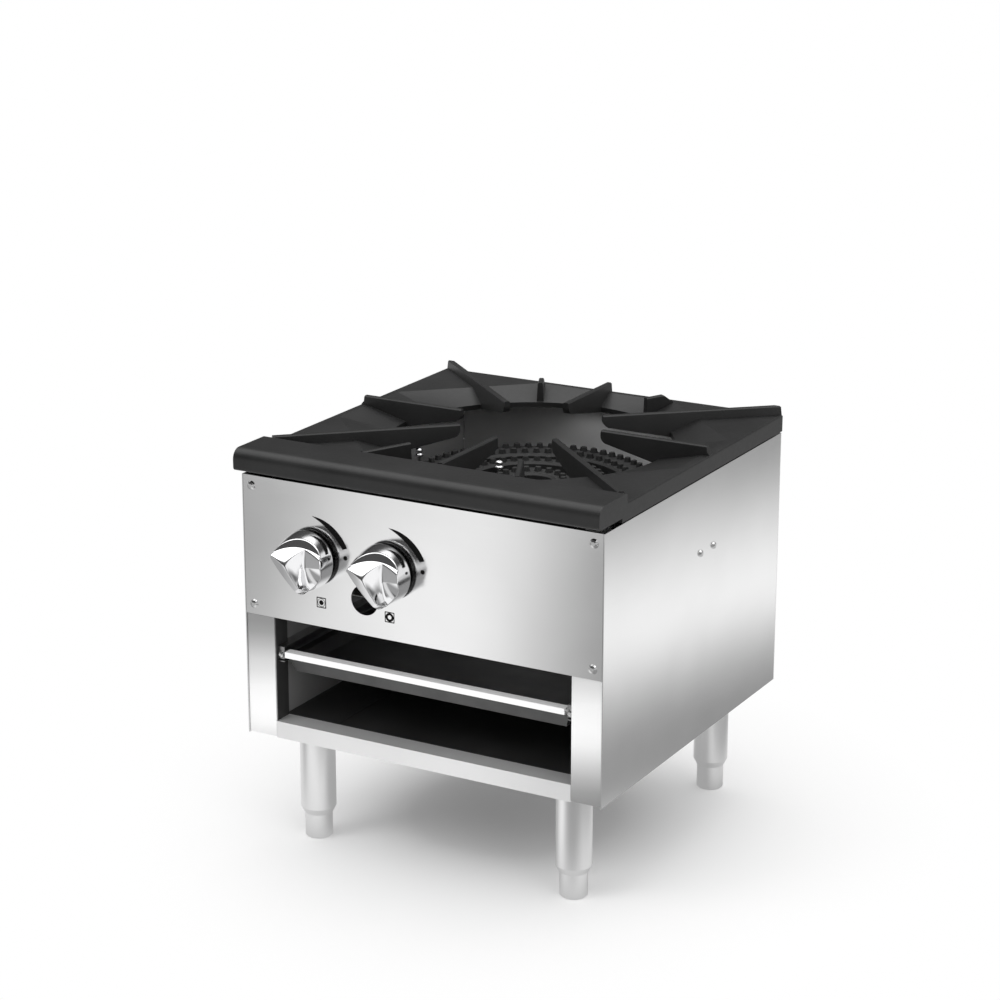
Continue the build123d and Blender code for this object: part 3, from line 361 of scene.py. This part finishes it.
def turnedMetal(name, color, rough):
    # machined metal: fine turning marks and darker stains
    f = Finish(name)
    look = turnedLook
    turning = f.noise("turning")
    stained = tuple(c * look["stained"] for c in color[:3]) + (1.0,)
    return f.done(
        Base_Color=f.mixColor(f.rising(f.noise("stain"), look["stainEdges"]), color, stained),
        Metallic=1.0,
        Roughness=f.spread(turning, rough + look["turningRough"][0], rough + look["turningRough"][1]),
        Normal=f.bump(turning, *look["turningBump"]),
    )


inkLook = {"speckTones": (1.0, 1.6), "rough": (0.7, 0.85), "shine": 0.12}


def printedInk(name, tone):
    # matt ink with fine specks
    f = Finish(name)
    speck = f.noise("speck")
    return f.done(
        Base_Color=f.tones(speck, tone, inkLook["speckTones"]),
        Roughness=f.spread(speck, *inkLook["rough"]),
        Specular_IOR_Level=inkLook["shine"],
    )


frontSteel = rolledSteel("frontSteel", steelLook["bright"], 0.14, 0.05, "X")
sideSteel = rolledSteel("sideSteel", steelLook["bright"], 0.16, 0.05, "Y")
postSteel = postSheet("postSteel")
railSteel = rolledSteel("railSteel", steelLook["satin"] * 1.2, 0.42, 0.08, "X", metal=0.6)
guideSteel = rolledSteel("guideSteel", steelLook["satin"] * 0.5, 0.30, 0.08, "Y")
linerSteel = linerSheet("linerSteel")
traySteel = traySheet("traySteel")
legSteel = rolledSteel("legSteel", steelLook["leg"], 0.34, 0.10, "Z")
shelfBlack = paintedSheet("shelfBlack", 0.018, 0.42)
pipeBlack = paintedSheet("pipeBlack", 0.02, 0.5)
topIron = coatedIron("topIron", 0.010, 0.018, 0.42, 0.00022)
burnerIron = coatedIron("burnerIron", 0.012, 0.026, 0.58, 0.00026)
knobChrome = castChrome("knobChrome", True)
pilotChrome = castChrome("pilotChrome", False)
screwSteel = turnedMetal("screwSteel", rgb(0.72), 0.2)
brass = turnedMetal("machinedBrass", (0.60, 0.43, 0.19, 1.0), 0.26)
tubeAluminium = turnedMetal("tubeAluminium", rgb(0.75), 0.3)
inkBlack = printedInk("inkBlack", 0.004)

finishOf = {
    "side_panel_left": sideSteel, "side_panel_right": sideSteel, "control_panel": frontSteel,
    "front_post_left": postSteel, "front_post_right": postSteel, "front_rail": railSteel,
    "back_panel": railSteel, "base_channel_left": guideSteel, "base_channel_right": guideSteel,
    "floor_pan_left": shelfBlack, "floor_pan_right": shelfBlack,
    "inner_wall_left": linerSteel, "inner_wall_right": linerSteel,
    "fire_box_front": linerSteel, "fire_box_back": linerSteel,
    "tray_guide_left": guideSteel, "tray_guide_right": guideSteel, "drip_tray": traySteel,
    "cast_iron_top": topIron, "outer_burner": burnerIron, "inner_burner": burnerIron,
    "burner_support_front": guideSteel, "burner_support_back": guideSteel,
    "burner_hanger_left": guideSteel, "burner_hanger_right": guideSteel,
    "gas_manifold": pipeBlack, "gas_inlet_pipe": pipeBlack,
    "valve_body_left": brass, "valve_body_right": brass, "orifice_left": brass, "orifice_right": brass,
    "valve_stem_left": screwSteel, "valve_stem_right": screwSteel,
    "knob_left": knobChrome, "knob_right": knobChrome,
    "air_shutter_left": guideSteel, "air_shutter_right": guideSteel,
    "pilot_valve_outer": brass, "pilot_valve_inner": brass,
    "pilot_tube_outer": tubeAluminium, "pilot_tube_inner": tubeAluminium,
    "pilot_head_outer": screwSteel, "pilot_head_inner": screwSteel,
    "leg_nuts": screwSteel, "panel_screws": screwSteel, "side_screws": screwSteel,
    "back_screws": screwSteel, "guide_screws": screwSteel,
}
for corner in ("front_left", "front_right", "back_left", "back_right"):
    finishOf["leg_" + corner] = legSteel
    finishOf["foot_" + corner] = legSteel

for name, material in finishOf.items():
    slots = nodes[name].data.materials
    if len(slots) == 0:
        slots.append(material)
    for i in range(len(slots)):
        slots[i] = material
print("finishes given to", len(finishOf), "pieces")


def gridMesh(name, points, material, body, wrapU=False, poles=False):
    # points[u, v] -> quads between neighbours; wrapU closes the sheet round along u,
    # poles closes it round along v and draws each end row together into one point
    rows, cols = points.shape[:2]
    if poles:
        last = 1 + (rows - 2) * cols
        between = 1 + np.arange(last - 1).reshape(-1, cols)
        index = np.vstack([np.zeros((1, cols), int), between, np.full((1, cols), last)])
        index = np.hstack([index, index[:, :1]])
        flat = np.vstack([points[0, :1], points[1:-1].reshape(-1, 3), points[-1, :1]])
    else:
        index = np.arange(rows * cols).reshape(rows, cols)
        flat = points.reshape(-1, 3)
    if wrapU:
        index = np.vstack([index, index[:1]])
    quads = np.stack([index[:-1, :-1], index[1:, :-1], index[1:, 1:], index[:-1, 1:]], axis=-1)
    if poles:
        faces = quads[0][:, :3].tolist() + quads[1:-1].reshape(-1, 4).tolist() + quads[-1][:, [0, 1, 3]].tolist()
    else:
        faces = quads.reshape(-1, 4).tolist()
    mesh = bpy.data.meshes.new(name)
    mesh.from_pydata(toFrame(flat).tolist(), [], faces)
    mesh.polygons.foreach_set("use_smooth", np.full(len(faces), True))
    mesh.materials.append(material)
    mesh.update()
    piece = bpy.data.objects.new(name, mesh)
    bpy.context.scene.collection.objects.link(piece)
    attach(piece, body)
    return piece


# Knob, with heights measured from its back. A line is the angle of its normal, its offset and its bow.
grip = {
    "back": -2.5, "height": 48.6, "radius": 34.0, "axisZ": 360.5, "left": -138.5, "right": -38.5,
    "boreRadius": 4.05, "boreDepth": 21.8, "footInset": 2.2, "footRound": 0.5, "footTop": 3.8,
    "skirtInset": 0.6, "skirtAt": 4.1, "bodyFrom": 4.6, "rimDrop": 0.6, "rimInset": 0.4, "rimRise": 0.45,
    "crown": 0.0012, "tilt": 0.16, "roundFrom": 25.0, "roundDrop": 0.12, "blend": 0.45, "aboveFront": 0.6,
    "behind": (223.0, 9.2, -0.0022), "scoopAt": [-1.6, 0.0, 1.2, 2.6, 5.0, 11.0, 27.0, 50.0],
    "scoopHeight": [49.4, 47.9, 45.6, 41.0, 31.0, 18.0, 9.0, 8.0],
    "draft": 6.2, "lean": 4.6, "leanTowards": 122.0, "draftPower": 1.6,
    "cols": 360, "coneRows": 18, "topRows": 110, "topPower": 0.9, "halvings": 40,
}
# Two pockets: the wall starts at its edge line on the front and ends at its crease line, both slightly bowed. The
# floor is a height and its slopes along X and Z, with a twist that lets it fall away at the lower right.
pockets = {
    "rightward": {
        "edge": (31.8, 0.3, 0.0030), "crease": (8.0, 13.7, 0.0048), "floor": (33.2, -0.14, -0.196), "twist": 0.031,
        "curve": 1.1, "bead": 0.5, "beadWidth": 0.8, "wallLeast": 3.0,
    },
    "upward": {
        "edge": (65.7, 2.8, 0.0), "crease": (95.4, 21.4, -0.012), "floor": (41.0, -0.39, -0.45), "twist": 0.0,
        "curve": 0.95, "bead": 0.0, "beadWidth": 1.0, "wallLeast": 3.0,
    },
}


def bowedLine(x, z, line):
    # signed distance past a line: its normal at an angle, its offset, and a bow that grows with the square along it
    angle, offset, bow = math.radians(line[0]), line[1], line[2]
    along = z * math.cos(angle) - x * math.sin(angle)
    return x * math.cos(angle) + z * math.sin(angle) - offset - bow * along ** 2


def pocketHeight(x, z, pocket):
    # full height before the edge, falling by a power of the share of the way to the crease, then the tilted and
    # twisted floor; a bell-shaped bead runs along the crease
    past = bowedLine(x, z, pocket["edge"])
    beyond = bowedLine(x, z, pocket["crease"])
    share = np.clip(past / np.maximum(past - beyond, pocket["wallLeast"]), 0.0, 1.0)
    base, perX, perZ = pocket["floor"]
    floor = base + perX * x + perZ * z - pocket["twist"] * np.maximum(beyond, 0.0) * np.maximum(-z, 0.0)
    top = grip["height"] + grip["aboveFront"]
    height = top + (floor - top) * share ** pocket["curve"]
    return height + pocket["bead"] * np.exp(-(beyond / pocket["beadWidth"]) ** 2) * (past > 0)


def gripTop(x, z):
    # lowest of the front, the two pockets and the scoop behind the grip, blended over half a millimetre; the front
    # is crowned by the square of the radius, rounds off outside one radius and tilts towards the scoop
    g = grip
    behind = bowedLine(x, z, g["behind"])
    outward = np.sqrt(x ** 2 + z ** 2)
    front = g["height"] - g["crown"] * outward ** 2 - g["roundDrop"] * np.maximum(outward - g["roundFrom"], 0.0) ** 2
    front = front - g["tilt"] * np.maximum(behind + g["behind"][1], 0.0)
    scoop = np.interp(behind, g["scoopAt"], g["scoopHeight"])
    layers = np.stack([front, scoop] + [pocketHeight(x, z, pocket) for pocket in pockets.values()])
    lowest = layers.min(axis=0)
    return lowest - g["blend"] * np.log(np.exp(-(layers - lowest) / g["blend"]).sum(axis=0))


def gripRadius(height, turn):
    # drafted body that leans: it draws in more at the upper left end of the grip than at the lower right
    share = np.clip(height / grip["height"], 0.0, 1.0)
    draft = grip["draft"] + grip["lean"] * np.cos(turn - math.radians(grip["leanTowards"]))
    return grip["radius"] - draft * share ** grip["draftPower"]


def sculptedKnob(side):
    # the rim is where the body meets the top, found by halving at every turn; rows run from the bottom of the bore
    # over the foot and the skirt, up the body, and over the top to its middle
    g = grip
    turn = np.linspace(0, 2 * math.pi, g["cols"], endpoint=False)
    low, high = np.zeros_like(turn), np.full_like(turn, g["height"])
    for _ in range(g["halvings"]):
        middle = (low + high) / 2
        r = gripRadius(middle, turn)
        above = gripTop(r * np.cos(turn), r * np.sin(turn)) > middle
        low, high = np.where(above, middle, low), np.where(above, high, middle)
    rim = low - g["rimDrop"]
    share = np.linspace(0, 1, g["coneRows"])[:, None]
    coneHeight = g["bodyFrom"] + (rim[None, :] - g["bodyFrom"]) * share
    coneRadius = gripRadius(coneHeight, turn[None, :])
    inward = np.linspace(1, 0, g["topRows"])[:, None] ** g["topPower"]
    topRadius = (gripRadius(rim, turn) - g["rimInset"])[None, :] * inward
    topHeight = gripTop(topRadius * np.cos(turn), topRadius * np.sin(turn))
    topHeight[0] = np.minimum(topHeight[0], rim + g["rimRise"])
    bore, deep, curl = g["boreRadius"], g["boreDepth"], g["footRound"]
    foot, skirt = g["radius"] - g["footInset"], g["radius"] - g["skirtInset"]
    base = np.array([
        (0.0, deep), (bore, deep), (bore, 0.0), (foot - curl, 0.0), (foot, curl), (foot, g["footTop"]),
        (skirt, g["skirtAt"]),
    ])
    base = base[:, :, None] * np.ones(g["cols"])
    radius = np.vstack([base[:, 0], coneRadius, topRadius])
    height = np.vstack([base[:, 1], coneHeight, topHeight])
    x = g[side] + radius * np.cos(turn)
    z = g["axisZ"] + radius * np.sin(turn)
    points = np.stack([x, g["back"] - height, z], axis=-1)
    piece = gridMesh("sculptedKnob_" + side, points, knobChrome, "control_" + side, poles=True)
    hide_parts("knob_" + side)


for side in ("left", "right"):
    sculptedKnob(side)
print("knobs sculpted")


# Pilot hoods: place and top of each, and one profile of radius and drop below the top.
pilots = {
    "outer": (-160.0, 270.0, 418.0), "inner": (-57.0, 283.0, 414.0), "cols": 36,
    "profile": [
        (0.0, 11.0), (3.3, 11.0), (3.3, 10.3), (5.3, 9.8), (5.6, 8.6), (5.3, 7.0), (3.3, 6.5), (3.0, 5.6), (4.4, 4.6),
        (4.9, 3.4), (4.7, 2.2), (3.9, 1.1), (2.6, 0.4), (1.3, 0.1), (0.0, 0.0),
    ],
}


def pilotHood(which):
    # turned hood over a collar nut: the profile revolved
    px, py, top = pilots[which]
    profile = np.array(pilots["profile"])
    turn = np.linspace(0, 2 * math.pi, pilots["cols"], endpoint=False)[None, :]
    x = px + profile[:, :1] * np.cos(turn)
    y = py + profile[:, :1] * np.sin(turn)
    z = np.repeat(top - profile[:, 1:], pilots["cols"], axis=1)
    points = np.stack([x, y, z], axis=-1)
    piece = gridMesh("pilotHood_" + which, points, pilotChrome, "range", poles=True)
    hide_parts("pilot_head_" + which)


for which in ("outer", "inner"):
    pilotHood(which)
print("pilot hoods turned")


# Printed marks: places on the panel as X and Z. Rings are an outer and an inner radius.
marks = {
    "lift": 0.06, "outerCentre": (-39.5, 360.7), "innerCentre": (-73.0, 333.0),
    "thin": (-36.6, 410.7), "thickOuter": (9.1, 379.9), "thickInner": (3.2, 377.7), "leftShift": (-99.5, -1.5),
    "dotRight": (6.7, 367.0), "dotLeft": (-92.8, 367.0), "dot": (2.6, 0.02),
    "squareRight": (-36.2, 307.6), "squareLeft": (-125.5, 309.6), "squareSide": 12.5, "line": 1.1, "corner": 0.12,
    "ring": (5.2, 2.4), "spot": (2.9, 0.02), "fineRing": (5.0, 4.4),
    "wedgeRows": 40, "wedgeCols": 4, "discRows": 48, "squareRows": 96,
}


def printed(name, x, z, wrapU=True):
    # ink just in front of the panel
    points = np.stack([x, np.full_like(x, -marks["lift"]), z], axis=-1)
    gridMesh(name, points, inkBlack, "range", wrapU=wrapU)


def wedge(name, shift):
    # lens between two arcs: both run from the thin end to the thick end, t along, s across
    m = marks
    t = np.linspace(0, 1, m["wedgeRows"])[:, None]
    s = np.linspace(0, 1, m["wedgeCols"])[None, :]

    def arc(centre, start, end):
        a0 = math.atan2(start[1] - centre[1], start[0] - centre[0])
        a1 = math.atan2(end[1] - centre[1], end[0] - centre[0])
        r0 = math.dist(centre, start)
        r1 = math.dist(centre, end)
        a = a0 + (a1 - a0) * t
        r = r0 + (r1 - r0) * t
        return centre[0] + r * np.cos(a), centre[1] + r * np.sin(a)

    ox, oz = arc(m["outerCentre"], m["thin"], m["thickOuter"])
    ix, iz = arc(m["innerCentre"], m["thin"], m["thickInner"])
    x = ox + (ix - ox) * s + shift[0]
    z = oz + (iz - oz) * s + shift[1]
    printed(name, x[::-1], z[::-1], wrapU=False)


def disc(name, centre, radii):
    # flat ring: radius from inner to outer, once round
    a = np.linspace(0, 2 * math.pi, marks["discRows"], endpoint=False)[:, None]
    r = np.array(radii[::-1])[None, :]
    printed(name, centre[0] + r * np.cos(a), centre[1] + r * np.sin(a))


def squareFrame(name, centre):
    # square outline with rounded corners: superellipse once round, two rails
    a = np.linspace(0, 2 * math.pi, marks["squareRows"], endpoint=False)[:, None]
    half = np.array([marks["squareSide"] / 2 - marks["line"], marks["squareSide"] / 2])[None, :]
    x = centre[0] + half * np.sign(np.cos(a)) * np.abs(np.cos(a)) ** marks["corner"]
    z = centre[1] + half * np.sign(np.sin(a)) * np.abs(np.sin(a)) ** marks["corner"]
    printed(name, x, z)


wedge("flameWedgeRight", (0.0, 0.0))
wedge("flameWedgeLeft", marks["leftShift"])
disc("flameDotRight", marks["dotRight"], marks["dot"])
disc("flameDotLeft", marks["dotLeft"], marks["dot"])
squareFrame("burnerSquareRight", marks["squareRight"])
squareFrame("burnerSquareLeft", marks["squareLeft"])
disc("burnerRingMark", marks["squareRight"], marks["ring"])
disc("burnerDotMark", marks["squareLeft"], marks["spot"])
disc("burnerDotRing", marks["squareLeft"], marks["fineRing"])
print("printed marks laid on the panel")


# Floor: pale, fading to plain white between two distances. Metal sees another brightness on it: in front of the
# panel a strip that leans along X, behind it a band at the right, and a painted shadow under the cabinet.
floorLook = {
    "tone": 0.93, "patchTones": (1.0, 1.04), "rough": 0.85, "white": (0.12, 0.52), "size": 14.0,
    "stripLean": 0.52, "stripRange": (-0.42, 0.26),
    "strip": [
        (0.0, 0.40), (0.02, 0.43), (0.13, 0.52), (0.26, 0.83), (0.43, 0.98), (0.55, 1.05), (0.65, 1.05),
        (0.71, 0.99), (0.75, 0.89), (0.80, 0.75), (0.85, 0.61), (0.89, 0.53), (0.94, 0.43), (1.0, 0.36),
    ],
    "dark": 0.8, "darkAcross": (0.8, 1.0), "darkNear": (-1.3, -1.0), "distant": (-1.7, -1.2), "distantTone": 0.82,
    "bandLean": 0.26, "bandRange": (-0.3, 1.3),
    "band": [
        (0.0, 0.85), (0.40, 0.80), (0.49, 0.34), (0.54, 0.34), (0.58, 0.46), (0.62, 0.66), (0.66, 0.92),
        (0.69, 1.07), (0.72, 1.12), (0.77, 1.06), (0.85, 0.85), (0.91, 0.67), (0.96, 0.46), (1.0, 0.36),
    ],
    "front": (-0.10, 0.02), "below": 0.6, "belowTone": 0.2, "belowWide": (0.03, 0.06),
    "belowStart": (-0.02, 0.08), "belowEnd": (0.42, 0.50),
}


def studioFloor():
    look = floorLook
    f = Finish("paleFloor")
    tone = f.tones(f.noise("floor"), look["tone"], look["patchTones"])
    pale = f.node("ShaderNodeBsdfPrincipled", None, {"Base Color": tone, "Roughness": look["rough"]})
    white = f.node("ShaderNodeEmission", None, {"Color": rgb(1.0), "Strength": 1.0})
    x, y, _ = f.parts()
    far = f.rising((x * x + y * y) ** 0.5, look["white"])
    fromPanel = y + cabinetShift / 1000.0
    across = x - fromPanel * look["stripLean"]
    stripTone = f.ramp(f.rising(across, look["stripRange"]), look["strip"])
    dark = f.rising(across, look["darkAcross"], look["dark"]) * f.rising(fromPanel, look["darkNear"])
    stripTone = f.mixColor(dark, stripTone, rgb(0.0))
    stripTone = f.mixColor(f.falling(fromPanel, look["distant"]), stripTone, rgb(look["distantTone"]))
    away = x + fromPanel * look["bandLean"]
    bandTone = f.ramp(f.rising(away, look["bandRange"]), look["band"])
    # painted shadow: what metal sees on the floor is darkened under the cabinet
    below = f.falling(x * x, look["belowWide"]) * f.rising(fromPanel, look["belowStart"])
    below = below * f.falling(fromPanel, look["belowEnd"])
    shown = f.mixColor(f.falling(fromPanel, look["front"]), bandTone, stripTone)
    shown = f.mixColor(below * look["below"], shown, rgb(look["belowTone"]))
    seen = f.node("ShaderNodeEmission", None, {"Color": shown, "Strength": 1.0})
    camera, mirrored = f.rays()
    f.close(f.mixShader(mirrored, f.mixShader(camera * far, pale, white), seen))
    size = look["size"]
    mesh = bpy.data.meshes.new("floor")
    mesh.from_pydata([(-size, -size, 0), (size, -size, 0), (size, size, 0), (-size, size, 0)], [], [(0, 1, 2, 3)])
    mesh.materials.append(f.owner)
    floor = bpy.data.objects.new("floor", mesh)
    bpy.context.scene.collection.objects.link(floor)


# Sky, by direction of unit length: metal sees it brighter upwards, dimmed low behind and ahead, with a dark card at
# the far right and a bright box low at the right. Pairs are the edges of each part, shares how strongly it dims.
skyLook = {
    "glow": 0.86, "heightRange": (-0.2, 1.0),
    "height": [(0.0, 0.45), (0.3, 0.45), (0.55, 0.8), (0.75, 1.0), (0.83, 2.3), (0.9, 2.5), (1.0, 1.5)],
    "behind": {"share": 0.85, "x": (0.15, 0.45), "y": (0.1, 0.6), "z": (0.5, 0.8)},
    "ahead": {"share": 0.9, "y": (-0.55, -0.25), "bottom": (0.02, 0.15), "top": (0.68, 0.80)},
    "box": {"tone": 1.1, "x": (0.48, 0.56), "y": (-0.2, 0.1), "z": (0.35, 0.45)},
    "card": {"share": 0.8, "x": (0.76, 0.86), "y": (0.0, 0.2), "z": (0.18, 0.26)},
}


def studioWorld():
    # plain white to the camera, an even glow to dull surfaces
    world = bpy.data.worlds.new("studio")
    bpy.context.scene.world = world
    f = Finish("studio", world)
    x, y, z = f.parts("Generated")
    height = f.ramp(f.rising(z, skyLook["heightRange"]), skyLook["height"], "EASE")
    part = skyLook["behind"]
    behind = f.rising(y, part["y"], part["share"]) * f.falling(z, part["z"]) * f.falling(x, part["x"])
    part = skyLook["ahead"]
    ahead = f.falling(y, part["y"]) * f.rising(z, part["bottom"]) * f.falling(z, part["top"]) * part["share"]
    part = skyLook["box"]
    box = f.rising(x, part["x"]) * f.falling(z, part["z"]) * f.falling(y, part["y"])
    part = skyLook["card"]
    card = f.rising(x, part["x"], part["share"]) * f.rising(z, part["z"]) * f.falling(y, part["y"])
    tone = height * (1.0 - card) * (1.0 - ahead) * (1.0 - behind) * (1.0 - box) + box * skyLook["box"]["tone"]
    glow = f.node("ShaderNodeBackground", None, {"Color": rgb(1.0), "Strength": skyLook["glow"]})
    seen = f.node("ShaderNodeBackground", None, {"Color": tone, "Strength": 1.0})
    white = f.node("ShaderNodeBackground", None, {"Color": rgb(1.0), "Strength": 1.0})
    camera, mirrored = f.rays()
    f.close(f.mixShader(camera, f.mixShader(mirrored, glow, seen), white), "ShaderNodeOutputWorld")


# Lamps: place, width and power; all point at one target.
lamps = {
    "keyLight": ((-1.6, -2.4, 2.6), 1.6, 30.0),
    "fillLight": ((2.6, -1.2, 1.6), 1.6, 10.0),
    "topLight": ((0.0, 0.6, 3.0), 2.0, 12.0),
}
lampTarget = (0.0, 0.0, 0.3)


def areaLight(name, place, width, power):
    data = bpy.data.lights.new(name, "AREA")
    data.shape = "RECTANGLE"
    data.size = data.size_y = width
    data.energy = power
    lamp = bpy.data.objects.new(name, data)
    lamp.location = place
    ahead = np.array(lampTarget) - np.array(place)
    ahead /= np.linalg.norm(ahead)
    across = np.cross(ahead, (0, 0, 1))
    across /= np.linalg.norm(across)
    turn = Matrix(np.stack([across, np.cross(across, ahead), -ahead], axis=1).tolist())
    lamp.rotation_euler = turn.to_euler()
    lamp.visible_glossy = False
    bpy.context.scene.collection.objects.link(lamp)


studioFloor()
studioWorld()
for name, (place, width, power) in lamps.items():
    areaLight(name, place, width, power)

# Camera: angles in degrees, lens and sensor in millimetres, clip in metres.
view = {
    "azimuth": 29.335, "elevation": 16.929, "roll": 0.050, "lens": 97.705, "sensor": 36.0, "clipEnd": 100.0,
    "place": (1452.0, -2400.2, 1301.7),
}


def makeCamera():
    a, e, r = (math.radians(view[k]) for k in ("azimuth", "elevation", "roll"))
    back = np.array([math.sin(a) * math.cos(e), -math.cos(a) * math.cos(e), math.sin(e)])
    right = np.cross(-back, (0, 0, 1))
    right /= np.linalg.norm(right)
    up = np.cross(right, -back)
    matrix = np.eye(4)
    matrix[:3, 0] = math.cos(r) * right + math.sin(r) * up
    matrix[:3, 1] = -math.sin(r) * right + math.cos(r) * up
    matrix[:3, 2] = back
    matrix[:3, 3] = toFrame(view["place"])
    data = bpy.data.cameras.new("camera")
    data.sensor_width = view["sensor"]
    data.lens = view["lens"]
    data.dof.use_dof = False
    data.clip_end = view["clipEnd"]
    camera = bpy.data.objects.new("camera", data)
    camera.matrix_world = Matrix(matrix.tolist())
    bpy.context.scene.collection.objects.link(camera)
    bpy.context.scene.camera = camera


makeCamera()
bpy.context.scene.view_settings.view_transform = "Standard"
print("studio ready")
